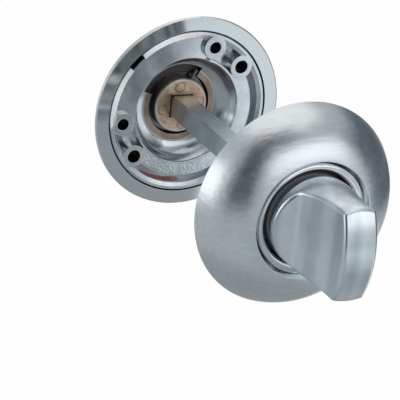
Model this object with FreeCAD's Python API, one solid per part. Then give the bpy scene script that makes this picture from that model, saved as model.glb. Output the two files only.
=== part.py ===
import FreeCAD, Part
import math
import os

from FreeCAD import Vector

# Bathroom thumb turn set: a thumb turn rose and a coin release rose on one square spindle.
# All sizes are millimetres and degrees. The spindle's axis is Y, +Z is up, and the origin
# lies on that axis at the thumb turn rose's door face. Every rose piece is drawn with the
# door face at depth 0 and its depth along +Y, then set on its own side of the door.
# Angles about the axis run from +X towards +Z.

# Door and spindle
DOOR_GAP = 62.0
SPINDLE_SIDE = 6.0
SPINDLE_CHAMFER = 0.4
SPINDLE_PLAY = 0.05
SPINDLE_END_GAP = 0.5

# Cover: a bell-shaped casting with a flat rear rim
ROSE_R = 27.0
COVER_H = 11.0
CREST_R = 15.75
COVER_BULGE = 1.8
RIM_ROUND = 0.4
RIM_W = 3.8
COVER_WALL = 1.4
CROWN_T = 2.7

# Trim ring set into the cover's crest
CREST_LAND = 0.25
TRIM_SEAT = 1.6
TRIM_BEVEL = 1.0
TRIM_GROOVE = 0.25
TRIM_SLEEVE_R = 14.35
TRIM_SLEEVE_L = 1.5
TRIM_BORE_R = 12.5
TRIM_DISH = 0.95
TRIM_ROLL = 0.25

# Cast base: outer wall, floor, dish, hub plate and four fixing bosses
BASE_GAP = 0.5
BASE_WALL = 1.8
WALL_FLAT = 0.75
WALL_SLOPE = 0.45
FLOOR_DEPTH = 1.3
PLATE_T = 3.3
DISH_INSET = 4.1
DISH_DEPTH = 6.0
DISH_HOLLOW = 0.8
DISH_WALL = 1.8
HUB_T = 2.4
LAND_DEPTH = 0.3
CHANNEL_W = 2.0
RIB_T = 0.6
CHANNEL_DEPTH = 3.0
FIXING_INSET = 8.0
BOLT_HOLE_R = 1.85
SCREW_HOLE_R = 1.65
BOSS_R = 3.2
BOSS_DEPTH = 6.0
BASE_AXIS = 129.7
BOLT_SPREAD = 90.0
SCREW_SPREAD = 58.3
PRY_NOTCH_SWEEP = 12.0
PRY_NOTCH_DEPTH = 3.8
PRY_NOTCH_OFFSET = 8.3

# Snap ring between base and cover
WIRE_R = 0.45
SNAP_DEPTH = 1.5
SNAP_GAP_SWEEP = 26.0
SNAP_CLEAR = 0.06

# Bush, washers and shank
FLANGE_R = 10.9
FLANGE_T = 0.8
BUSH_R = 9.6
BUSH_POCKET_R = 8.9
SHANK_R = 7.0
RUNNING_GAP = 0.05
PRESS_GAP = 0.03
THRUST_T = 0.6
THRUST_GAP = 0.15
DISC_SPRING_T = 0.2
DISC_SPRING_H = 0.32
DISC_SPRING_GAP = 0.1
DISC_SPRING_R = 8.6

# Drive collar with its rivets and stop pin
COLLAR_R = 7.7
COLLAR_PROUD = 1.5
COLLAR_T = 3.5
COLLAR_EDGE = 0.3
RIVET_R = 1.3
RIVET_PCD = 10.8
RIVET_ANGLE = 9.0
RIVET_RECESS = 0.2
STOP_PIN_R = 0.6
STOP_PIN_IN_R = 6.0
STOP_PIN_OUT_R = 10.5
STOP_PIN_BELOW = 0.7
STOP_ANGLE = 64.5
STOP_TRAVEL = 90.0
STOP_MARGIN = 1.0
STOP_CLEAR = 0.3
WINDOW_R = 11.6

# Thumb turn: a round body hollowed on both sides to an upright blade
KNOB_R = 12.0
KNOB_LIFT = 0.2
KNOB_RIM = 1.55
KNOB_LENGTH = 23.3
KNOB_ARCH_R = 24.5
KNOB_BACK_ROUND = 0.4
SHOULDER_RISE = 1.9
BLADE_HALF = 4.4
BLADE_WAIST_BACK = 4.5
BLADE_HOLLOW_R = 45.0
ROOT_FILLET = 2.2
BLADE_ROUND = 1.0
THUMB_SOCKET_L = 5.8

# Release button with its coin slot
BUTTON_SIDE = 1.0
BUTTON_DOME = 1.2
BUTTON_ROUND = 0.4
COIN_W = 2.0
COIN_L = 15.0
COIN_D = 1.4
RELEASE_SOCKET_L = 0.2

# Values that follow from the sizes above
ORIGIN = Vector(0, 0, 0)
AXIS = Vector(0, 1, 0)
SKIN = 1.0

TRIM_R = CREST_R - CREST_LAND
TRIM_LEDGE = COVER_H - TRIM_SEAT
TRIM_BACK = TRIM_LEDGE - TRIM_SLEEVE_L
CAVITY_TOP = COVER_H - CROWN_T
RIM_BORE_R = ROSE_R - RIM_W
BASE_R = RIM_BORE_R - BASE_GAP
INNER_R = BASE_R - BASE_WALL
LAND_R = INNER_R - CHANNEL_W
PLATE_BACK = FLOOR_DEPTH + PLATE_T
HUB_FRONT = DISH_DEPTH + HUB_T
FIXING_R = ROSE_R - FIXING_INSET
DISH_R = FIXING_R - DISH_INSET
BOLT_ANGLES = (BASE_AXIS - BOLT_SPREAD, BASE_AXIS + BOLT_SPREAD)
SCREW_ANGLES = (BASE_AXIS - SCREW_SPREAD, BASE_AXIS + SCREW_SPREAD)
NOTCH_ANGLE = BASE_AXIS + PRY_NOTCH_OFFSET
SNAP_R = (BASE_R + RIM_BORE_R) / 2
KNOB_BACK = COVER_H + KNOB_LIFT
KNOB_FRONT = KNOB_BACK + KNOB_LENGTH
THRUST_FRONT = KNOB_BACK - THRUST_GAP
BUSH_FRONT = THRUST_FRONT - THRUST_T
BUSH_BORE_R = SHANK_R + RUNNING_GAP
COLLAR_BACK = DISH_DEPTH - COLLAR_PROUD
COLLAR_FRONT = COLLAR_BACK + COLLAR_T
BUSH_STEP = COLLAR_FRONT + DISC_SPRING_H + DISC_SPRING_GAP
STOP_PIN_DEPTH = DISH_DEPTH + STOP_PIN_BELOW
WINDOW_FLOOR = STOP_PIN_DEPTH + STOP_PIN_R + STOP_CLEAR
STOP_HALF = math.degrees(math.asin(STOP_PIN_R / BUSH_POCKET_R)) + STOP_MARGIN
WINDOW = (STOP_ANGLE - STOP_HALF, STOP_ANGLE + STOP_TRAVEL + STOP_HALF)
SOCKET_SIDE = SPINDLE_SIDE + 2 * SPINDLE_PLAY
THUMB_SOCKET_END = KNOB_BACK + THUMB_SOCKET_L
RELEASE_SOCKET_END = KNOB_BACK + RELEASE_SOCKET_L


def at(radius, depth):
    """Point of a turned section."""
    return Vector(radius, depth, 0)


def polar(radius, angle, depth):
    """Point at an angle about the axis."""
    turn = math.radians(angle)
    return Vector(radius * math.cos(turn), depth, radius * math.sin(turn))


def face_of(start, *moves):
    """Closed face from straight moves to a point and arcs given as (via, end)."""
    edges = []
    here = start
    for move in moves + (start,):
        if isinstance(move, tuple):
            via, there = move
            edges.append(Part.Arc(here, via, there).toShape())
        else:
            there = move
            edges.append(Part.makeLine(here, there))
        here = there
    return Part.Face(Part.Wire(edges))


def bowed(start, end, bow):
    """Middle of an arc from start to end that stands off its chord by bow, positive to the left."""
    chord = end - start
    left = Vector(-chord.y, chord.x, 0)
    return (start + end) * 0.5 + left.normalize() * bow


def turned(start, *moves):
    """Solid of revolution about the spindle's axis."""
    return face_of(start, *moves).revolve(ORIGIN, AXIS, 360)


def sector(radii, depths, angles):
    """Stretch of a plain ring between two angles."""
    inner, outer = radii
    back, front = depths
    face = face_of(at(inner, back), at(outer, back), at(outer, front), at(inner, front))
    face.rotate(ORIGIN, AXIS, -angles[0])
    return face.revolve(ORIGIN, -AXIS, angles[1] - angles[0])


def post(radius, centre, back, front):
    """Round post along the axis, at the angle and radius of its centre."""
    return Part.makeCylinder(radius, front - back, polar(centre[0], centre[1], back), AXIS)


def square_bar(side, back, front):
    """Square bar along the axis."""
    return Part.makeBox(side, front - back, side, Vector(-side / 2, back, -side / 2))


def dome_centre():
    """Centre and radius of the arc that shapes the cover from its rim to its crest."""
    rim = at(ROSE_R, RIM_ROUND)
    crest = at(CREST_R, COVER_H)
    chord = crest - rim
    outward = Vector(chord.y, -chord.x, 0).normalize()
    radius = (chord.Length ** 2 / 4 + COVER_BULGE ** 2) / (2 * COVER_BULGE)
    centre = (rim + crest) * 0.5 + outward * (COVER_BULGE - radius)
    return centre, radius


def dome_r(depth, inset):
    """Radius of the cover's bell, or of a bell inside it, at a depth."""
    centre, radius = dome_centre()
    return centre.x + math.sqrt((radius - inset) ** 2 - (depth - centre.y) ** 2)


def dome_depth(radius_there, inset):
    """Depth at which that bell has a given radius."""
    centre, radius = dome_centre()
    return centre.y + math.sqrt((radius - inset) ** 2 - (radius_there - centre.x) ** 2)


def dome_arc(back, front, inset):
    """Arc move along the bell from one depth to another."""
    middle = (back + front) / 2
    return at(dome_r(middle, inset), middle), at(dome_r(front, inset), front)


def cover():
    """Bell-shaped cover with a flat rear rim, a snap groove and a seat for the trim ring."""
    straight = dome_depth(RIM_BORE_R, COVER_WALL)
    rim_bend = RIM_ROUND * (1 - math.sqrt(0.5))
    shell = turned(
        at(RIM_BORE_R, 0),
        at(ROSE_R - RIM_ROUND, 0),
        (at(ROSE_R - rim_bend, rim_bend), at(ROSE_R, RIM_ROUND)),
        dome_arc(RIM_ROUND, COVER_H, 0),
        at(TRIM_R + PRESS_GAP, COVER_H),
        at(TRIM_R + PRESS_GAP, TRIM_LEDGE),
        at(TRIM_SLEEVE_R + PRESS_GAP, TRIM_LEDGE),
        at(TRIM_SLEEVE_R + PRESS_GAP, CAVITY_TOP),
        at(dome_r(CAVITY_TOP, COVER_WALL), CAVITY_TOP),
        dome_arc(CAVITY_TOP, straight, COVER_WALL),
    )
    return shell.cut(Part.makeTorus(SNAP_R, WIRE_R + SNAP_CLEAR, Vector(0, SNAP_DEPTH, 0), AXIS))


def trim_ring():
    """Ring with an outer bevel, a fine groove and a face that rolls in to the turning piece."""
    bevel_r = TRIM_R - TRIM_BEVEL
    bevel_depth = COVER_H - TRIM_BEVEL
    groove_r = bevel_r - TRIM_GROOVE
    roll = bowed(at(groove_r, bevel_depth), at(TRIM_BORE_R, bevel_depth - TRIM_DISH), -TRIM_ROLL)
    return turned(
        at(TRIM_R, TRIM_LEDGE),
        at(TRIM_R, COVER_H),
        at(bevel_r, bevel_depth),
        at(bevel_r, bevel_depth - TRIM_GROOVE),
        at(groove_r, bevel_depth - TRIM_GROOVE),
        at(groove_r, bevel_depth),
        (roll, at(TRIM_BORE_R, bevel_depth - TRIM_DISH)),
        at(TRIM_BORE_R, TRIM_BACK),
        at(TRIM_SLEEVE_R, TRIM_BACK),
        at(TRIM_SLEEVE_R, TRIM_LEDGE),
    )


def dish_outer_r(depth):
    """Radius of the outside of the base's dish wall at a depth."""
    slope = (DISH_R - FLANGE_R) / (DISH_DEPTH - FLOOR_DEPTH)
    return DISH_R - (depth - FLOOR_DEPTH) * slope + DISH_WALL * math.hypot(1, slope)


def base_room(front):
    """Room for the base under the cover, from the door face to a depth."""
    inset = COVER_WALL + BASE_GAP
    straight = dome_depth(BASE_R, inset)
    return turned(
        at(0, 0),
        at(BASE_R, 0),
        at(BASE_R, straight),
        dome_arc(straight, front, inset),
        at(0, front),
    )


def base():
    """Cast base, seen from the door: wall, floor, raised land, channel, bosses and stop window."""
    seat = PRESS_GAP
    hollow_middle = bowed(at(DISH_R, FLOOR_DEPTH), at(FLANGE_R + seat, DISH_DEPTH), -DISH_HOLLOW)
    hollow = turned(
        at(0, -SKIN),
        at(BASE_R - WALL_FLAT, -SKIN),
        at(BASE_R - WALL_FLAT, 0),
        at(INNER_R, WALL_SLOPE),
        at(INNER_R, FLOOR_DEPTH),
        at(DISH_R, FLOOR_DEPTH),
        (hollow_middle, at(FLANGE_R + seat, DISH_DEPTH)),
        at(FLANGE_R + seat, DISH_DEPTH + FLANGE_T),
        at(BUSH_R + seat, DISH_DEPTH + FLANGE_T),
        at(BUSH_R + seat, HUB_FRONT + SKIN),
        at(0, HUB_FRONT + SKIN),
    )
    dish = turned(
        at(0, PLATE_BACK - SKIN),
        at(dish_outer_r(PLATE_BACK - SKIN), PLATE_BACK - SKIN),
        at(dish_outer_r(HUB_FRONT), HUB_FRONT),
        at(0, HUB_FRONT),
    )
    body = base_room(PLATE_BACK).fuse(dish).cut(hollow)

    # The land follows the dish's edge from one wood screw boss round the bottom to the other.
    bolt_low, bolt_high = BOLT_ANGLES[1] - 360, BOLT_ANGLES[0]
    screw_low, screw_high = SCREW_ANGLES[1] - 360, SCREW_ANGLES[0]
    pockets = ((screw_low, bolt_low), (bolt_high, screw_high))
    raised = (LAND_DEPTH, FLOOR_DEPTH + SKIN)
    body = body.fuse(sector((DISH_R, LAND_R), raised, (bolt_low, bolt_high)))
    for ends in pockets:
        body = body.fuse(sector((DISH_R, DISH_R + RIB_T), raised, ends))
    sunk = (-SKIN, CHANNEL_DEPTH)
    body = body.cut(sector((LAND_R, INNER_R), sunk, (bolt_low, bolt_high)))
    for ends in pockets:
        body = body.cut(sector((DISH_R + RIB_T, INNER_R), sunk, ends))

    room = base_room(BOSS_DEPTH)
    for angle in BOLT_ANGLES + SCREW_ANGLES:
        body = body.fuse(post(BOSS_R, (FIXING_R, angle), 0, BOSS_DEPTH).common(room))
    for angle in BOLT_ANGLES:
        body = body.cut(post(BOLT_HOLE_R, (FIXING_R, angle), -SKIN, BOSS_DEPTH + SKIN))
    for angle in SCREW_ANGLES:
        body = body.cut(post(SCREW_HOLE_R, (FIXING_R, angle), -SKIN, BOSS_DEPTH + SKIN))

    notch = (NOTCH_ANGLE - PRY_NOTCH_SWEEP / 2, NOTCH_ANGLE + PRY_NOTCH_SWEEP / 2)
    body = body.cut(sector((INNER_R, BASE_R + SKIN), (-SKIN, PRY_NOTCH_DEPTH), notch))
    body = body.cut(sector((BUSH_POCKET_R, WINDOW_R), (FLOOR_DEPTH, WINDOW_FLOOR), WINDOW))
    body = body.cut(Part.makeTorus(SNAP_R, WIRE_R + SNAP_CLEAR, Vector(0, SNAP_DEPTH, 0), AXIS))
    return body.removeSplitter()


def snap_ring():
    """Open wire ring that holds the cover on the base, with its ends either side of the notch."""
    wire = Part.Wire(Part.makeCircle(WIRE_R, at(SNAP_R, SNAP_DEPTH), Vector(0, 0, 1)))
    section = Part.Face(wire)
    section.rotate(ORIGIN, AXIS, -(NOTCH_ANGLE + SNAP_GAP_SWEEP / 2))
    return section.revolve(ORIGIN, -AXIS, 360 - SNAP_GAP_SWEEP)


def bush():
    """Flanged bearing bush, pocketed for the collar and cut away where the stop pin travels."""
    body = turned(
        at(BUSH_POCKET_R, DISH_DEPTH),
        at(FLANGE_R, DISH_DEPTH),
        at(FLANGE_R, DISH_DEPTH + FLANGE_T),
        at(BUSH_R, DISH_DEPTH + FLANGE_T),
        at(BUSH_R, BUSH_FRONT),
        at(BUSH_BORE_R, BUSH_FRONT),
        at(BUSH_BORE_R, BUSH_STEP),
        at(BUSH_POCKET_R, BUSH_STEP),
    )
    return body.cut(sector((SHANK_R, FLANGE_R + SKIN), (DISH_DEPTH - SKIN, WINDOW_FLOOR), WINDOW))


def thrust_washer():
    """Plain washer that the turning piece's back runs on."""
    return turned(
        at(SHANK_R + RUNNING_GAP, BUSH_FRONT),
        at(BUSH_R, BUSH_FRONT),
        at(BUSH_R, THRUST_FRONT),
        at(SHANK_R + RUNNING_GAP, THRUST_FRONT),
    )


def disc_spring():
    """Coned spring washer between the collar and the bush's step."""
    bore_r = SHANK_R + RUNNING_GAP
    rise = DISC_SPRING_H - DISC_SPRING_T
    return turned(
        at(bore_r, COLLAR_FRONT + rise),
        at(DISC_SPRING_R, COLLAR_FRONT),
        at(DISC_SPRING_R, COLLAR_FRONT + DISC_SPRING_T),
        at(bore_r, COLLAR_FRONT + DISC_SPRING_H),
    )


def rivet_places():
    """Radius and angle of each rivet that holds the collar on the shank."""
    return [(RIVET_PCD / 2, RIVET_ANGLE + 90 * step) for step in range(4)]


def stop_pin_bar(radius, inner):
    """Round bar along the stop pin's line."""
    start = polar(inner, STOP_ANGLE, STOP_PIN_DEPTH)
    along = polar(1, STOP_ANGLE, 0)
    return Part.makeCylinder(radius, STOP_PIN_OUT_R - inner, start, along)


def drive_collar():
    """Collar with a square socket, riveted to the shank and drilled for the stop pin."""
    body = turned(
        at(0, COLLAR_BACK),
        at(COLLAR_R - COLLAR_EDGE, COLLAR_BACK),
        at(COLLAR_R, COLLAR_BACK + COLLAR_EDGE),
        at(COLLAR_R, COLLAR_FRONT),
        at(0, COLLAR_FRONT),
    )
    body = body.cut(square_bar(SOCKET_SIDE, COLLAR_BACK - SKIN, COLLAR_FRONT + SKIN))
    for place in rivet_places():
        body = body.cut(post(RIVET_R + PRESS_GAP, place, COLLAR_BACK - SKIN, COLLAR_FRONT + SKIN))
        rim = post(RIVET_R + RIVET_RECESS, place, COLLAR_BACK - SKIN, COLLAR_BACK + RIVET_RECESS)
        body = body.cut(rim)
    return body.cut(stop_pin_bar(STOP_PIN_R + PRESS_GAP, STOP_PIN_IN_R - PRESS_GAP))


def stop_pin():
    """Steel pin that meets the ends of the base's window after a quarter turn."""
    return stop_pin_bar(STOP_PIN_R, STOP_PIN_IN_R)


def shank(socket_end):
    """Turning shank with its rivets, and the square socket to be cut from it."""
    body = post(SHANK_R, (0, 0), COLLAR_FRONT, KNOB_BACK + SKIN)
    for place in rivet_places():
        body = body.fuse(post(RIVET_R, place, COLLAR_BACK, COLLAR_FRONT + SKIN))
    return body, square_bar(SOCKET_SIDE, COLLAR_FRONT - SKIN, socket_end)


def blade_half(depth):
    """Half the blade's thickness at a depth, along its hollow side."""
    waist = KNOB_FRONT - BLADE_WAIST_BACK
    return BLADE_HALF + BLADE_HOLLOW_R - math.sqrt(BLADE_HOLLOW_R ** 2 - (depth - waist) ** 2)


def blade_side():
    """Room cleared beside the blade: a sloping shoulder that sweeps into a hollow side."""
    rim = KNOB_BACK + KNOB_RIM
    root = rim + SHOULDER_RISE
    slope = SHOULDER_RISE / (KNOB_R - blade_half(root))
    front = KNOB_FRONT + SKIN
    middle = (root + front) / 2
    plan = face_of(
        at(KNOB_R + SKIN, rim - slope * SKIN),
        at(blade_half(root), root),
        (at(blade_half(middle), middle), at(blade_half(front), front)),
        at(KNOB_R + SKIN, front),
    )
    height = 2 * (KNOB_R + SKIN)
    plan.translate(Vector(0, 0, -height / 2))
    room = plan.extrude(Vector(0, 0, height))
    corner = at(blade_half(root), root)
    bends = [edge for edge in room.Edges if edge.distToShape(Part.Vertex(corner))[0] < 1e-6]
    return room.makeFillet(ROOT_FILLET, bends)


def thumb_turn():
    """Thumb turn: round body, arched end and hollow sides, in one piece with its shank."""
    body = post(KNOB_R, (0, 0), KNOB_BACK, KNOB_FRONT)
    arch_start = Vector(-KNOB_R - SKIN, KNOB_FRONT - KNOB_ARCH_R, 0)
    arch = Part.makeCylinder(KNOB_ARCH_R, 2 * (KNOB_R + SKIN), arch_start, Vector(1, 0, 0))
    body = body.common(arch)
    room = blade_side()
    body = body.cut(room).cut(room.mirror(ORIGIN, Vector(1, 0, 0)))
    behind = KNOB_BACK + KNOB_RIM / 2
    blade_edges = [edge for edge in body.Edges if edge.BoundBox.YMin > behind and is_sharp(body, edge)]
    body = body.makeFillet(BLADE_ROUND, blade_edges)
    back_edges = [edge for edge in body.Edges if edge.BoundBox.YMax < behind and is_round(edge)]
    body = body.makeFillet(KNOB_BACK_ROUND, back_edges)
    stem, socket = shank(THUMB_SOCKET_END)
    return body.fuse(stem).cut(socket).removeSplitter()


def is_round(edge):
    """Whether an edge is a whole circle."""
    return not edge.Degenerated and edge.isClosed() and isinstance(edge.Curve, Part.Circle)


def is_sharp(body, edge):
    """Whether the two faces beside an edge meet at a clear angle."""
    middle = edge.valueAt((edge.FirstParameter + edge.LastParameter) / 2)
    normals = []
    for face in body.ancestorsOfType(edge, Part.Face):
        across, along = face.Surface.parameter(middle)
        normals.append(face.normalAt(across, along))
    return len(normals) == 2 and normals[0].getAngle(normals[1]) > math.radians(5)


def release_button():
    """Coin release: a low domed button with a straight slot, in one piece with its shank."""
    side = KNOB_BACK + BUTTON_SIDE
    top = side + BUTTON_DOME
    middle_r = KNOB_R / 2
    dome_radius = (KNOB_R ** 2 + BUTTON_DOME ** 2) / (2 * BUTTON_DOME)
    middle = top - dome_radius + math.sqrt(dome_radius ** 2 - middle_r ** 2)
    body = turned(
        at(0, KNOB_BACK),
        at(KNOB_R, KNOB_BACK),
        at(KNOB_R, side),
        (at(middle_r, middle), at(0, top)),
    )
    body = body.makeFillet(BUTTON_ROUND, [edge for edge in body.Edges if is_round(edge)])
    bottom = top - COIN_D
    reach = COIN_L / 2 - COIN_W / 2
    slot = Part.makeBox(COIN_W, COIN_D + SKIN, 2 * reach, Vector(-COIN_W / 2, bottom, -reach))
    for end in (-90, 90):
        slot = slot.fuse(post(COIN_W / 2, (reach, end), bottom, top + SKIN))
    stem, socket = shank(RELEASE_SOCKET_END)
    return body.fuse(stem).cut(slot).cut(socket).removeSplitter()


def spindle():
    """Square spindle with eased corners, from the thumb turn's socket to the release's."""
    back = -THUMB_SOCKET_END + SPINDLE_END_GAP
    front = DOOR_GAP + RELEASE_SOCKET_END - SPINDLE_END_GAP
    bar = square_bar(SPINDLE_SIDE, back, front)
    return bar.makeChamfer(SPINDLE_CHAMFER, bar.Edges)


def inside(shape):
    """Piece of the thumb turn rose: its depth runs along -Y."""
    return shape.mirror(ORIGIN, AXIS)


def outside(shape):
    """Piece of the release rose, on the far side of the door."""
    return shape.translated(Vector(0, DOOR_GAP, 0))


os.makedirs("parts", exist_ok=True)
rose_pieces = {
    "cover": cover(),
    "trim_ring": trim_ring(),
    "base": base(),
    "snap_ring": snap_ring(),
    "bush": bush(),
    "thrust_washer": thrust_washer(),
    "disc_spring": disc_spring(),
    "drive_collar": drive_collar(),
    "stop_pin": stop_pin(),
}
pieces = {
    "spindle": spindle(),
    "thumb_turn": inside(thumb_turn()),
    "release_button": outside(release_button()),
}
for name, shape in rose_pieces.items():
    pieces["inside_" + name] = inside(shape)
    pieces["outside_" + name] = outside(shape)
for name, shape in pieces.items():
    shape.exportStep("parts/" + name + ".step")
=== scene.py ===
import math

import bpy
from mathutils import Matrix, Vector


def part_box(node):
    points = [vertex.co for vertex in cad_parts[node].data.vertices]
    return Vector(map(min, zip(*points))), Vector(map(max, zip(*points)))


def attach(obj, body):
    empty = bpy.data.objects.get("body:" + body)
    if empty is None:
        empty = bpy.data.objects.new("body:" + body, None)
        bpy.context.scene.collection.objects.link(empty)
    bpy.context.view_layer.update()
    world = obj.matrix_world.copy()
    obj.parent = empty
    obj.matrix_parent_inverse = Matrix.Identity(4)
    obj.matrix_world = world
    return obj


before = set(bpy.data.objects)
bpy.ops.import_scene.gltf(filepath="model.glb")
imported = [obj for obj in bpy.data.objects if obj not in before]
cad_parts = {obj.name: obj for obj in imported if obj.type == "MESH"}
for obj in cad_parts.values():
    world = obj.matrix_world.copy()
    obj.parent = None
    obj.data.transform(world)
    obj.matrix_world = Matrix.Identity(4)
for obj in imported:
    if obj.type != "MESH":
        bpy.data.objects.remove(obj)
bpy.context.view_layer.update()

MM = 0.001

# Sizes that the frame gives, in millimetres. Depths count from a rose's door side.
ROSE_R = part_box("inside_cover")[1].x / MM
COVER_H = -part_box("inside_cover")[0].y / MM
DOOR_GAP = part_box("outside_cover")[0].y / MM
BASE_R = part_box("inside_base")[1].x / MM
HUB_FRONT = -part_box("inside_base")[0].y / MM
FLANGE_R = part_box("inside_bush")[1].x / MM
DISH_DEPTH = -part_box("inside_bush")[1].y / MM
COLLAR_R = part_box("inside_drive_collar")[1].x / MM
COLLAR_BACK = -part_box("inside_drive_collar")[1].y / MM
SPINDLE_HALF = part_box("spindle")[1].x / MM

# The middle of the set, half way between the roses, in metres.
MIDDLE = Vector((0, DOOR_GAP / 2 * MM, 0))

# Other sizes that the finishes follow, in millimetres.
RIM_ROUND = 0.4
CREST_R = 15.75
COVER_BULGE = 1.8
COVER_WALL = 1.4
TRIM_SLOPE_R = 14.3
BASE_WALL = 1.8
CHANNEL_W = 2.0
WALL_INNER_R = BASE_R - BASE_WALL
LAND_R = WALL_INNER_R - CHANNEL_W
WALL_FLAT = 0.75
LAND_DEPTH = 0.3
FLOOR_DEPTH = 1.3
DISH_R = 14.9
HUB_R = 14.6
HUB_BACK = HUB_FRONT - 1.0
WINDOW_R = 11.6
COIN_FLOOR = 12.0
COIN_HALF_W = 1.0
COIN_HALF_L = 7.5

# Marks on the base: angles round the spindle in degrees, and radii in millimetres.
BASE_AXIS = 129.7
FLOOR_HALF_SWEEP = 58.3
NOTCH_ANGLE = 138.0
NOTCH_HALF = 6.5
# The side towards which the base's wall edge carries a painted highlight.
WALL_HIGHLIGHT_ANGLE = 135.0
PAINT_SWEEP = (-121.0, -90.0)
PATCH_SWEEP = (-130.0, -64.0)
PATCH_BAND = (15.6, 18.3)

# Slopes that finishes lend to a surface, as rise over run, and how far in they reach, in millimetres.
RIM_CROWN = 0.05
TRIM_FLATTEN = 0.55
BASE_CROWN = 0.04
WALL_ROLL = 0.38
LIP_SLOPE = 0.65
LIP_REACH = 3.0
DISH_FLATTEN = 0.6
DISH_FLATTEN_R = 13.5
DISH_FLATTEN_REACH = 2.6

# Rivet heads on the drive collars, in millimetres and degrees.
RIVET_COUNT = 4
RIVET_CIRCLE_R = 5.4
RIVET_FIRST = 9.0
RIVET_HEAD_R = 1.42
RIVET_HEAD_H = 0.14
RIVET_HEAD_SEGMENTS = 28
RIVET_HEAD_RINGS = 14

# The view of the photograph: where the camera stands, in degrees and millimetres.
CAMERA_TURN = -27.89
CAMERA_RISE = 22.77
CAMERA_ROLL = 7.0
CAMERA_REACH = 568.9
CAMERA_ASIDE = -9.83
CAMERA_DOWN = -11.56
CAMERA_LENS = 198.0
CAMERA_SENSOR = 36.0
CAMERA_FAR = 50000.0

# The studio: a pale floor below the set, and cards and lamps round it.
FLOOR_DROP = 120.0
FLOOR_HALF = 6000.0
FLOOR_TONE = 0.92
FLOOR_GLOW = 0.7
CARD_STEPS = 24
CARD_LIFT = 3.0
CARD_STAGGER = 1000.0
PAPER_TINT = (0.93, 1.0, 1.05)
BLUE_TINT = (0.84, 1.0, 1.22)
LAMP_DISTANCE = 840.0


class Value:
    """A shader socket that Python's own operators work on."""

    def __init__(self, sheet, socket):
        self.sheet = sheet
        self.socket = socket

    def maths(self, operation, first, second=0.0):
        return self.sheet.node("ShaderNodeMath", {"operation": operation}, {0: first, 1: second})

    def __add__(self, other):
        return self.maths("ADD", self, other)

    __radd__ = __add__

    def __sub__(self, other):
        return self.maths("SUBTRACT", self, other)

    def __rsub__(self, other):
        return self.maths("SUBTRACT", other, self)

    def __mul__(self, other):
        return self.maths("MULTIPLY", self, other)

    __rmul__ = __mul__

    def __truediv__(self, other):
        return self.maths("DIVIDE", self, other)

    def __pow__(self, other):
        return self.maths("POWER", self, other)

    def __abs__(self):
        return self.maths("ABSOLUTE", self)

    def at_least(self, lowest):
        return self.maths("MAXIMUM", self, lowest)

    def at_most(self, highest):
        return self.maths("MINIMUM", self, highest)

    def step(self, low, high):
        """0 below low, 1 above high and a soft rise between them."""
        return self.sheet.node(
            "ShaderNodeMapRange",
            {"interpolation_type": "SMOOTHSTEP"},
            {"Value": self, "From Min": low, "From Max": high},
        )

    def band(self, low, high, soft):
        """1 between low and high, 0 outside, with soft edges."""
        return self.step(low - soft, low + soft) * (1.0 - self.step(high - soft, high + soft))

    def rise(self, low, high):
        """A step up between two places in millimetres."""
        return self.step(low * MM, high * MM)

    def fall(self, low, high):
        """A step down between two places in millimetres."""
        return 1.0 - self.rise(low, high)

    def between(self, low, high, soft):
        """A band between two places in millimetres."""
        return self.band(low * MM, high * MM, soft * MM)

    def sweep(self, first, last, soft):
        """A band between two angles in degrees."""
        return self.band(math.radians(first), math.radians(last), math.radians(soft))


class Sheet:
    """A node tree, and the one method that adds a node to it."""

    def __init__(self, tree):
        self.tree = tree
        self.tree.nodes.clear()

    def node(self, kind, settings=(), sockets=(), output=0):
        made = self.tree.nodes.new(kind)
        for name, value in dict(settings).items():
            setattr(made, name, value)
        for name, value in dict(sockets).items():
            if isinstance(value, Value):
                self.tree.links.new(value.socket, made.inputs[name])
            else:
                made.inputs[name].default_value = value
        return Value(self, made.outputs[output] if len(made.outputs) else None)


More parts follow.
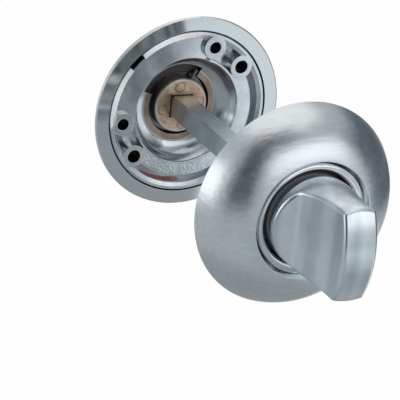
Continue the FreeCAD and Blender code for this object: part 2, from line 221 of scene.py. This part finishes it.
class Finish(Sheet):
    """A material of the set. Its place on a piece is read in metres."""

    def __init__(self, name):
        self.material = bpy.data.materials.new(name)
        self.material.use_nodes = True
        super().__init__(self.material.node_tree)
        self.place = self.node("ShaderNodeTexCoord", output="Object")
        self.x = self.node("ShaderNodeSeparateXYZ", {}, {0: self.place}, "X")
        self.y = self.node("ShaderNodeSeparateXYZ", {}, {0: self.place}, "Y")
        self.z = self.node("ShaderNodeSeparateXYZ", {}, {0: self.place}, "Z")
        self.radius = (self.x * self.x + self.z * self.z) ** 0.5
        self.depth = abs(self.y - DOOR_GAP / 2 * MM) - DOOR_GAP / 2 * MM

    def vector(self, x, y, z):
        return self.node("ShaderNodeCombineXYZ", {}, {0: x, 1: y, 2: z})

    def angle(self):
        """Angle round the spindle's line, in radians."""
        return self.node("ShaderNodeMath", {"operation": "ARCTAN2"}, {0: self.z, 1: self.x})

    def towards(self, angle):
        """How far a place lies from the spindle's line towards an angle round it, given in degrees."""
        turn = math.radians(angle)
        return self.x * math.cos(turn) + self.z * math.sin(turn)

    def outside(self):
        """1 at the outside rose and 0 at the inside one."""
        return self.y.rise(DOOR_GAP / 2, DOOR_GAP)

    def noise(self, vector, scale, detail):
        return self.node("ShaderNodeTexNoise", {}, {"Vector": vector, "Scale": scale, "Detail": detail})

    def streaks(self, x, y, z, detail):
        """Noise with a scale of its own along each axis."""
        return self.noise(self.vector(self.x * x, self.y * y, self.z * z), 1.0, detail)

    def turning_marks(self, fine, around):
        """Noise drawn out into rings round the spindle's line."""
        ring = self.vector(self.radius * fine, self.angle() * around, self.y * fine)
        return self.noise(ring, 1.0, 1.0)

    def mix(self, mask, first, second):
        return self.node("ShaderNodeMix", {"data_type": "RGBA"}, {0: mask, 6: first, 7: second}, 2)

    def softened(self, radius):
        """The surface's normal with its sharp edges rounded off."""
        return self.node("ShaderNodeBevel", {"samples": 6}, {"Radius": radius * MM})

    def edges(self, rounded):
        """About 1 along sharp edges and 0 elsewhere."""
        plain = self.node("ShaderNodeNewGeometry", output="Normal")
        product = {"operation": "DOT_PRODUCT"}
        along = self.node("ShaderNodeVectorMath", product, {0: rounded, 1: plain}, "Value")
        return (1.0 - along).step(0.004, 0.10)

    def bump(self, height, distance, normal):
        return self.node("ShaderNodeBump", {}, {"Height": height, "Distance": distance, "Normal": normal})

    def finished(self, colour, roughness, normal, metallic=1.0):
        shader = self.node(
            "ShaderNodeBsdfPrincipled",
            {},
            {"Base Color": colour, "Metallic": metallic, "Roughness": roughness, "Normal": normal},
        )
        self.node("ShaderNodeOutputMaterial", {}, {"Surface": shader})
        return self.material


def rgb(red, green, blue):
    return (red, green, blue, 1.0)


def dome():
    """Radius and depth of the centre of the cover's arched section, and the arch's radius."""
    rim = Vector((ROSE_R, RIM_ROUND))
    crest = Vector((CREST_R, COVER_H))
    chord = crest - rim
    outward = Vector((chord.y, -chord.x)).normalized()
    arch = (chord.length ** 2 / 4 + COVER_BULGE ** 2) / (2 * COVER_BULGE)
    return (rim + crest) / 2 + outward * (COVER_BULGE - arch), arch


def satin_cover():
    """Cover: satin nickel brushed in one direction, a polished rear rim and its inside painted near black
    as shade.
    """
    f = Finish("satin_nickel_cover")
    rounded = f.softened(0.1)
    grain = f.streaks(180.0, 6000.0, 6000.0, 3.0)
    strokes = f.streaks(70.0, 1000.0, 1000.0, 3.0)
    cloud = f.noise(f.place, 110.0, 3.0)
    centre, arch = dome()
    across = f.radius - centre.x * MM
    along = f.depth - centre.y * MM
    skin = (across * across + along * along) ** 0.5
    inside = skin.fall(arch - COVER_WALL, arch - COVER_WALL / 2) * f.depth.rise(0.03, 0.06)
    rim = f.depth.fall(0.02, 0.08)
    brushing = (0.4 * cloud + 0.6 * strokes).step(0.3, 0.7)
    satin = f.mix(brushing, rgb(0.69, 0.73, 0.755), rgb(0.81, 0.84, 0.85))
    satin = f.mix(f.edges(rounded) * 0.5, satin, rgb(0.80, 0.82, 0.83))
    tone = f.mix(rim, satin, rgb(0.70, 0.74, 0.755))
    # Painted shade: the cover's inside is coloured near black so that the gaps into it look dark.
    tone = f.mix(inside, tone, rgb(0.10, 0.105, 0.11))
    rough = 0.19 + 0.05 * cloud + 0.08 * grain + 0.10 * strokes
    rough = rough * (1.0 - rim) + rim * (0.05 + 0.06 * cloud)
    rough = rough * (1.0 - inside) + inside * 0.5
    brushed = (0.2 * grain + strokes) * (1.0 - rim) * 0.045 * MM
    crowned = (ROSE_R * MM - f.radius) * RIM_CROWN * rim
    return f.finished(tone, rough, f.bump(brushed + crowned, 1.0, rounded))


def satin_turn():
    """Thumb turn and release button: satin nickel brushed up and down, with painted shade in the coin slot.
    """
    f = Finish("satin_nickel_turn")
    rounded = f.softened(0.12)
    grain = f.streaks(2600.0, 2600.0, 60.0, 2.0)
    cloud = f.noise(f.place, 130.0, 3.0)
    hands = f.noise(f.place, 420.0, 3.0)
    # Buffing streaks of random tone, partly painted shade: their offset along the blade puts a darker
    # streak across the middle of its hollow.
    buffing_and_shade = f.noise(f.vector(f.x * 170.0, f.y * 170.0 + 4.9, f.z * 5.0), 1.0, 1.0)
    # Painted shade: the coin slot is coloured dark, as the shade inside it.
    slot = abs(f.x).fall(COIN_HALF_W, COIN_HALF_W + 0.15) * abs(f.z).fall(COIN_HALF_L, COIN_HALF_L + 0.3)
    slot = slot * f.depth.fall(COIN_FLOOR + 0.1, COIN_FLOOR + 0.9) * f.outside()
    brushing = (0.3 * cloud + 0.7 * buffing_and_shade).step(0.35, 0.65)
    tone = f.mix(brushing, rgb(0.54, 0.605, 0.65), rgb(0.79, 0.83, 0.855))
    tone = f.mix(f.edges(rounded) * 0.15, tone, rgb(0.76, 0.78, 0.79))
    tone = f.mix(slot * 0.8, tone, rgb(0.16, 0.17, 0.18))
    rough = 0.20 + 0.05 * cloud + 0.03 * grain + 0.04 * hands + 0.15 * slot
    return f.finished(tone, rough, f.bump(grain, 0.0008 * MM, rounded))


def polished_chrome():
    """Trim ring: plating with faint turning and wiping marks, its inner slope polished flatter."""
    f = Finish("polished_chrome")
    rounded = f.softened(0.08)
    smear = f.noise(f.place, 240.0, 4.0)
    rings = f.turning_marks(12000.0, 2.0)
    tone = f.mix(smear.step(0.35, 0.7), rgb(0.72, 0.75, 0.77), rgb(0.78, 0.80, 0.81))
    rough = 0.06 + 0.07 * smear + 0.03 * rings
    flatter = (f.radius - TRIM_SLOPE_R * MM).at_most(0.0) * -TRIM_FLATTEN
    return f.finished(tone, rough, f.bump(rings * 0.0004 * MM + flatter, 1.0, rounded))


def cast_height(f, skin, highlight_side):
    """Height of the base's cast skin, its rough patch, its rolled wall edge and its softened dish."""
    chill = f.streaks(500.0, 500.0, 120.0, 3.0)
    cast = (skin + 0.8 * chill) * 0.012 * MM
    patch = f.angle().sweep(*PATCH_SWEEP, 7.0) * f.radius.between(*PATCH_BAND, 0.5)
    stipple = f.noise(f.place, 1500.0, 2.0).step(0.3, 0.7) * patch * 0.05 * MM
    rolled = (f.radius - (WALL_INNER_R + 1.0) * MM).at_least(0.0) * highlight_side
    crowned = f.radius * -BASE_CROWN + rolled * WALL_ROLL
    floor_end = math.cos(math.radians(FLOOR_HALF_SWEEP))
    on_floor = (f.towards(BASE_AXIS) / f.radius).step(floor_end - 0.005, floor_end + 0.005)
    below = f.depth - LAND_DEPTH * MM - on_floor * (FLOOR_DEPTH - LAND_DEPTH) * MM
    below = below.at_least(0.0).at_most(LIP_REACH * MM)
    within = f.radius.fall(DISH_R + 0.05, DISH_R + 0.3)
    lip = LIP_SLOPE * below * (1.0 - below / (2 * LIP_REACH * MM)) * within
    inward = (DISH_FLATTEN_R * MM - f.radius).at_least(0.0).at_most(DISH_FLATTEN_REACH * MM)
    flatter = DISH_FLATTEN * inward * f.x.fall(-13.0, -3.0)
    return cast + stipple + crowned + lip + flatter


def cast_zinc():
    """Base: die-cast zinc with a painted highlight on one side of its wall edge, painted shade in the
    channel, the deeper dish and on the hub, and a dab of red paint.
    """
    f = Finish("cast_zinc")
    rounded = f.softened(0.22)
    skin = f.noise(f.place, 1300.0, 4.0)
    flow = f.noise(f.place, 150.0, 4.0)
    ragged = f.noise(f.place, 900.0, 3.0) - 0.5
    stray = 1.2 * MM * ragged
    # Painted highlight: the wall edge on one side is coloured near white, rougher and less metallic, so
    # that it looks evenly lit.
    highlight_side = f.towards(WALL_HIGHLIGHT_ANGLE).rise(12.0, 16.0)
    painted_wall_highlight = f.radius.rise(WALL_INNER_R, WALL_INNER_R + 0.2) * highlight_side
    painted_wall_highlight = painted_wall_highlight * f.depth.fall(WALL_FLAT - 0.25, WALL_FLAT - 0.05)
    # Painted shade: the channel between the land and the wall is coloured darker all round, as the shade in
    # it.
    channel = f.radius.rise(LAND_R - 0.1, LAND_R + 0.1)
    channel = channel * f.radius.fall(WALL_INNER_R - 0.2, WALL_INNER_R + 0.1)
    channel = channel * f.depth.rise(FLOOR_DEPTH - 0.1, FLOOR_DEPTH + 1.1)
    # Painted shade: the deeper part of the dish is coloured darker, more so towards +X.
    dish = f.depth.rise(DISH_DEPTH - 3.4, DISH_DEPTH - 2.0) * f.radius.fall(DISH_R - 0.3, DISH_R)
    dish = dish * f.x.rise(-8.0, 4.0)
    # Painted shade: the hub's front, in the gap beneath the thumb turn, is coloured dark, rougher and less
    # metallic, as the deep shade there.
    hub = f.depth.rise(HUB_BACK, HUB_BACK + 0.3) * f.radius.fall(HUB_R, HUB_R + 0.2)
    window = f.depth.between(DISH_DEPTH + 0.2, HUB_FRONT - 0.2, 0.15)
    window = window * f.radius.fall(WINDOW_R + 0.3, WINDOW_R + 0.6)
    notch = f.angle().sweep(NOTCH_ANGLE - NOTCH_HALF, NOTCH_ANGLE + NOTCH_HALF, 0.6)
    notch = notch * f.radius.rise(WALL_INNER_R - 0.1, WALL_INNER_R + 0.05) * f.depth.rise(0.6, 1.0)
    shade = 1.0 - (1.0 - window) * (1.0 - notch)
    dab = (f.angle() + 0.25 * ragged).sweep(*PAINT_SWEEP, 3.0) * f.outside()
    dab = dab * (f.radius + stray).rise(WALL_INNER_R - 0.75, WALL_INNER_R - 0.3)
    dab = dab * (f.depth + stray).rise(FLOOR_DEPTH, FLOOR_DEPTH + 0.4)
    tone = f.mix(flow.step(0.3, 0.7), rgb(0.58, 0.62, 0.645), rgb(0.78, 0.81, 0.83))
    tone = f.mix(f.edges(rounded) * 0.7, tone, rgb(0.88, 0.89, 0.90))
    tone = f.mix(painted_wall_highlight * 0.8, tone, rgb(0.95, 0.96, 0.97))
    tone = f.mix(dish * 0.55, tone, rgb(0.36, 0.39, 0.41))
    tone = f.mix(channel * 0.7, tone, rgb(0.25, 0.28, 0.30))
    tone = f.mix(hub, tone, rgb(0.144, 0.160, 0.173))
    tone = f.mix(shade, tone, rgb(0.05, 0.052, 0.055))
    tone = f.mix(dab * 0.8, tone, rgb(0.52, 0.13, 0.10))
    rough = 0.10 + 0.12 * skin + 0.08 * flow + 0.25 * hub + 0.25 * shade + 0.3 * dab + 0.10 * painted_wall_highlight
    metallic = (1.0 - 0.9 * dab - 0.5 * painted_wall_highlight) * (1.0 - 0.9 * hub)
    return f.finished(tone, rough, f.bump(cast_height(f, skin, highlight_side), 1.0, rounded), metallic)


def sintered(name, dark, light, sheen, worn_r):
    """Sintered bronze: warm and porous, stained round the spindle, worn pale outside, with painted shade
    round the socket and in recesses.
    """
    f = Finish(name)
    rounded = f.softened(0.12)
    pores = f.noise(f.place, 3000.0, 2.0)
    cloud = f.noise(f.place, 240.0, 4.0)
    rings = f.turning_marks(6000.0, 1.5)
    square = abs(f.x).at_least(abs(f.z))
    stain = f.noise(f.place, 420.0, 3.0).step(0.36, 0.58)
    stain = stain * square.fall(SPINDLE_HALF + 0.4, 2 * SPINDLE_HALF)
    # Painted shade: a near black line round the square socket stands for the shadow in the spindle's
    # clearance.
    socket = square.fall(SPINDLE_HALF + 0.1, SPINDLE_HALF + 0.45)
    worn = f.radius.rise(worn_r, worn_r + 0.4)
    # Painted shade: faces deeper than the dish are coloured near black, as the shade in the gaps.
    recess = f.depth.rise(DISH_DEPTH + 0.05, DISH_DEPTH + 0.4)
    tone = f.mix(cloud.step(0.3, 0.7), dark, light)
    tone = f.mix(pores.step(0.60, 0.74) * 0.7, tone, rgb(0.12, 0.085, 0.06))
    tone = f.mix(f.edges(rounded) * 0.4, tone, rgb(0.78, 0.66, 0.55))
    tone = f.mix(stain * 0.75, tone, rgb(0.31, 0.175, 0.10))
    tone = f.mix(worn * 0.6, tone, rgb(0.80, 0.77, 0.73))
    tone = f.mix(socket, tone, rgb(0.03, 0.022, 0.016))
    tone = f.mix(recess * 0.85, tone, rgb(0.06, 0.047, 0.037))
    rough = sheen + 0.14 * cloud + 0.06 * rings
    return f.finished(tone, rough, f.bump(pores + 0.5 * rings, 0.004 * MM, rounded))


def zinc_steel():
    """Spindle: drawn square bar, zinc plated, with lines along its length."""
    f = Finish("zinc_steel")
    rounded = f.softened(0.12)
    drawn = f.streaks(5000.0, 45.0, 5000.0, 3.0)
    cloud = f.noise(f.place, 200.0, 4.0)
    tone = f.mix(cloud.step(0.3, 0.7), rgb(0.58, 0.64, 0.645), rgb(0.70, 0.745, 0.75))
    tone = f.mix(f.edges(rounded) * 0.5, tone, rgb(0.70, 0.73, 0.73))
    rough = 0.26 + 0.12 * drawn + 0.06 * cloud
    return f.finished(tone, rough, f.bump(drawn, 0.004 * MM, rounded))


def spring_steel():
    """Snap rings, disc springs and stop pins: blued spring steel."""
    f = Finish("spring_steel")
    heat = f.noise(f.place, 400.0, 3.0)
    fine = f.noise(f.place, 4000.0, 2.0)
    tone = f.mix(heat.step(0.3, 0.7), rgb(0.13, 0.15, 0.18), rgb(0.24, 0.25, 0.27))
    return f.finished(tone, 0.24 + 0.14 * heat, f.bump(fine, 0.001 * MM, f.softened(0.05)))


def nylon():
    """Thrust washers: natural nylon, a little uneven."""
    f = Finish("nylon")
    cloud = f.noise(f.place, 500.0, 3.0)
    tone = f.mix(cloud, rgb(0.60, 0.57, 0.50), rgb(0.70, 0.68, 0.62))
    return f.finished(tone, 0.42 + 0.12 * cloud, f.bump(cloud, 0.004 * MM, f.softened(0.05)), 0.0)


def dress(node, material):
    """Puts one finish on every material slot of a node."""
    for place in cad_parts[node].material_slots:
        place.material = material


def rivet_head_tree():
    """Peened rivet heads, evenly spaced on a circle round the spindle's line."""
    tree = bpy.data.node_groups.new("rivet_heads", "GeometryNodeTree")
    for name, kind in (
        ("Rivets", "NodeSocketInt"),
        ("Circle Radius", "NodeSocketFloat"),
        ("First Angle", "NodeSocketFloat"),
        ("Head Radius", "NodeSocketFloat"),
        ("Head Height", "NodeSocketFloat"),
        ("Place", "NodeSocketFloat"),
        ("Finish", "NodeSocketMaterial"),
    ):
        tree.interface.new_socket(name, in_out="INPUT", socket_type=kind)
    tree.interface.new_socket("Geometry", in_out="OUTPUT", socket_type="NodeSocketGeometry")
    g = Sheet(tree)
    given = {s.name: Value(g, s) for s in g.node("NodeGroupInput").socket.node.outputs}
    circle = g.node(
        "GeometryNodeMeshCircle", {}, {"Vertices": given["Rivets"], "Radius": given["Circle Radius"]}
    )
    head = g.node(
        "GeometryNodeMeshUVSphere",
        {},
        {"Segments": RIVET_HEAD_SEGMENTS, "Rings": RIVET_HEAD_RINGS, "Radius": 1.0},
    )
    size = g.node(
        "ShaderNodeCombineXYZ",
        {},
        {0: given["Head Radius"], 1: given["Head Radius"], 2: given["Head Height"]},
    )
    head = g.node("GeometryNodeTransform", {}, {"Geometry": head, "Scale": size})
    heads = g.node("GeometryNodeInstanceOnPoints", {}, {"Points": circle, "Instance": head})
    turn = g.node("ShaderNodeCombineXYZ", {}, {0: math.pi / 2, 1: -1.0 * given["First Angle"], 2: 0.0})
    put = g.node("ShaderNodeCombineXYZ", {}, {0: 0.0, 1: given["Place"], 2: 0.0})
    heads = g.node("GeometryNodeTransform", {}, {"Geometry": heads, "Rotation": turn, "Translation": put})
    heads = g.node("GeometryNodeRealizeInstances", {}, {"Geometry": heads})
    heads = g.node("GeometryNodeSetShadeSmooth", {}, {"Geometry": heads})
    heads = g.node("GeometryNodeSetMaterial", {}, {"Geometry": heads, "Material": given["Finish"]})
    g.node("NodeGroupOutput", {}, {"Geometry": heads})
    return tree


def rivet_heads(name, tree, place, material):
    """One collar's rivet heads, at a place along the spindle in millimetres."""
    holder = bpy.data.objects.new(name + "_pattern", bpy.data.meshes.new(name))
    bpy.context.collection.objects.link(holder)
    pattern = holder.modifiers.new("rivet_heads", "NODES")
    pattern.node_group = tree
    sizes = {
        "Rivets": RIVET_COUNT,
        "Circle Radius": RIVET_CIRCLE_R * MM,
        "First Angle": math.radians(RIVET_FIRST),
        "Head Radius": RIVET_HEAD_R * MM,
        "Head Height": RIVET_HEAD_H * MM,
        "Place": place * MM,
        "Finish": material,
    }
    for item in tree.interface.items_tree:
        if item.in_out == "INPUT":
            pattern[item.identifier] = sizes[item.name]
    shown = holder.evaluated_get(bpy.context.evaluated_depsgraph_get())
    mesh = bpy.data.meshes.new_from_object(shown)
    bpy.data.objects.remove(holder)
    piece = bpy.data.objects.new(name, mesh)
    bpy.context.collection.objects.link(piece)
    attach(piece, "turning_set")


def heading_vector(heading, rise):
    """Heading 0 is straight out from the thumb turn, positive towards +X; rise is above level."""
    turn, up = math.radians(heading), math.radians(rise)
    return Vector((math.cos(up) * math.sin(turn), -math.cos(up) * math.cos(turn), math.sin(up)))


def card(name, headings, rises, distance, tone, tint):
    """A curved card that only glossy surfaces see, lying on the floor where it would go through it."""
    lowest = (FLOOR_DROP - CARD_LIFT + distance / CARD_STAGGER) * MM
    points = []
    for i in range(CARD_STEPS + 1):
        rise = rises[0] + (rises[1] - rises[0]) * i / CARD_STEPS
        for j in range(CARD_STEPS + 1):
            way = heading_vector(headings[0] + (headings[1] - headings[0]) * j / CARD_STEPS, rise)
            reach = distance * MM
            if way.z * reach < -lowest:
                reach = lowest / -way.z
            points.append(MIDDLE + way * reach)
    wide = CARD_STEPS + 1
    faces = [
        (i * wide + j, i * wide + j + 1, (i + 1) * wide + j + 1, (i + 1) * wide + j)
        for i in range(CARD_STEPS)
        for j in range(CARD_STEPS)
    ]
    mesh = bpy.data.meshes.new(name)
    mesh.from_pydata(points, [], faces)
    sheet = bpy.data.objects.new(name, mesh)
    bpy.context.collection.objects.link(sheet)
    material = bpy.data.materials.new(name)
    material.use_nodes = True
    paper = Sheet(material.node_tree)
    glow = paper.node("ShaderNodeEmission", {}, {"Color": rgb(*(tone * part for part in tint))})
    paper.node("ShaderNodeOutputMaterial", {}, {"Surface": glow})
    mesh.materials.append(material)
    sheet.visible_camera = False
    sheet.visible_diffuse = False
    sheet.visible_shadow = False


def cards():
    """The cards by name, with headings and rises in degrees, distance in millimetres, tone and tint."""
    card("grey_card_left", (-190, 62), (-52, 58), 980, 0.46, PAPER_TINT)
    card("grey_card_right", (62, 140), (-30, 58), 980, 0.46, PAPER_TINT)
    card("grey_card_low", (-4, 27), (-48, -18), 950, 0.36, PAPER_TINT)
    card("light_card_low", (27, 60), (-27, -8), 940, 0.85, PAPER_TINT)
    card("light_card_lower", (38, 60), (-48, -27), 940, 0.85, PAPER_TINT)
    card("grey_card_lower", (20, 38), (-48, -27), 945, 0.36, PAPER_TINT)
    card("light_card_level", (2, 28), (-18, -8), 940, 0.85, PAPER_TINT)
    card("pale_card_level", (-4, 60), (-8, 10), 945, 0.62, PAPER_TINT)
    card("dark_card_back", (138, 168), (-38, -8), 940, 0.22, PAPER_TINT)
    card("grey_card_below", (-180, 180), (-90, -50), 960, 0.33, PAPER_TINT)
    card("dark_card_front", (-58, -20), (-12, 62), 900, 0.035, BLUE_TINT)
    card("dark_card_over", (-24, 14), (46, 64), 905, 0.10, BLUE_TINT)
    card("dark_card_right", (62, 126), (-20, 31), 900, 0.10, BLUE_TINT)


def floor():
    """A wide pale floor that catches the shadow and looks white to the camera and to metal."""
    half = FLOOR_HALF * MM
    low = -FLOOR_DROP * MM
    mesh = bpy.data.meshes.new("floor")
    mesh.from_pydata(
        [(-half, -half, low), (half, -half, low), (half, half, low), (-half, half, low)], [], [(0, 1, 2, 3)]
    )
    plane = bpy.data.objects.new("floor", mesh)
    bpy.context.collection.objects.link(plane)
    material = bpy.data.materials.new("pale_floor")
    material.use_nodes = True
    f = Sheet(material.node_tree)
    chalk = f.node("ShaderNodeBsdfDiffuse", {}, {"Color": rgb(FLOOR_TONE, FLOOR_TONE, FLOOR_TONE)})
    white = f.node("ShaderNodeEmission", {}, {"Color": rgb(1.0, 1.0, 1.0)})
    camera_ray = f.node("ShaderNodeLightPath", output="Is Camera Ray")
    glossy_ray = f.node("ShaderNodeLightPath", output="Is Glossy Ray")
    clear_ray = f.node("ShaderNodeLightPath", output="Is Transmission Ray")
    seen = (camera_ray + glossy_ray + clear_ray).step(0.0, 1.0) * FLOOR_GLOW
    shown = f.node("ShaderNodeMixShader", {}, {0: seen, 1: chalk, 2: white})
    f.node("ShaderNodeOutputMaterial", {}, {"Surface": shown})
    mesh.materials.append(material)


def soft_lamp(name, heading, rise, width, height, watts):
    """An area lamp that faces the set, with its width and height in metres."""
    way = heading_vector(heading, rise)
    lamp = bpy.data.lights.new(name, "AREA")
    lamp.shape = "RECTANGLE"
    lamp.size = width
    lamp.size_y = height
    lamp.energy = watts
    holder = bpy.data.objects.new(name, lamp)
    holder.location = way * LAMP_DISTANCE * MM + MIDDLE
    holder.rotation_euler = way.to_track_quat("Z", "Y").to_euler()
    bpy.context.collection.objects.link(holder)


def camera():
    """The camera at the photograph's angle, tilted by its roll."""
    turn, roll = math.radians(CAMERA_TURN), math.radians(CAMERA_ROLL)
    back = heading_vector(CAMERA_TURN, CAMERA_RISE)
    level = Vector((math.cos(turn), math.sin(turn), 0.0))
    over = back.cross(level)
    right = level * math.cos(roll) + over * math.sin(roll)
    above = over * math.cos(roll) - level * math.sin(roll)
    shift = back * CAMERA_REACH + right * CAMERA_ASIDE + above * CAMERA_DOWN
    data = bpy.data.cameras.new("photo_view")
    data.lens = CAMERA_LENS
    data.sensor_width = CAMERA_SENSOR
    data.clip_end = CAMERA_FAR * MM
    eye = bpy.data.objects.new("photo_view", data)
    turned = Matrix((right, above, back)).transposed().to_4x4()
    eye.matrix_world = Matrix.Translation(MIDDLE + shift * MM) @ turned
    bpy.context.collection.objects.link(eye)
    bpy.context.scene.camera = eye


def studio():
    """A white world, the floor, the cards and two soft lamps."""
    world = bpy.data.worlds.new("studio")
    bpy.context.scene.world = world
    world.use_nodes = True
    w = Sheet(world.node_tree)
    sky = w.node("ShaderNodeBackground", {}, {"Color": rgb(1.0, 1.0, 1.0), "Strength": 1.0})
    w.node("ShaderNodeOutputWorld", {}, {"Surface": sky})
    bpy.context.scene.view_settings.view_transform = "Standard"
    floor()
    cards()
    soft_lamp("soft_lamp_front", 20, 24, 1.0, 0.40, 1.05)
    soft_lamp("soft_lamp_left", -94, 8, 0.60, 0.50, 1.0)


turns = satin_turn()
springs = spring_steel()
pale_bronze = sintered(
    "bronze_collar", rgb(0.52, 0.37, 0.265), rgb(0.75, 0.58, 0.435), sheen=0.28, worn_r=COLLAR_R - 0.8
)
oiled_bronze = sintered(
    "bronze_bush", rgb(0.27, 0.205, 0.165), rgb(0.47, 0.38, 0.315), sheen=0.30, worn_r=FLANGE_R - 0.6
)
finishes = {
    "cover": satin_cover(),
    "release_button": turns,
    "thumb_turn": turns,
    "trim_ring": polished_chrome(),
    "base": cast_zinc(),
    "bush": oiled_bronze,
    "drive_collar": pale_bronze,
    "spindle": zinc_steel(),
    "snap_ring": springs,
    "disc_spring": springs,
    "stop_pin": springs,
    "thrust_washer": nylon(),
}
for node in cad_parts:
    dress(node, finishes[node.replace("inside_", "").replace("outside_", "")])

heads = rivet_head_tree()
rivet_heads("inside_rivet_heads", heads, -COLLAR_BACK, pale_bronze)
rivet_heads("outside_rivet_heads", heads, DOOR_GAP + COLLAR_BACK, pale_bronze)

studio()
camera()
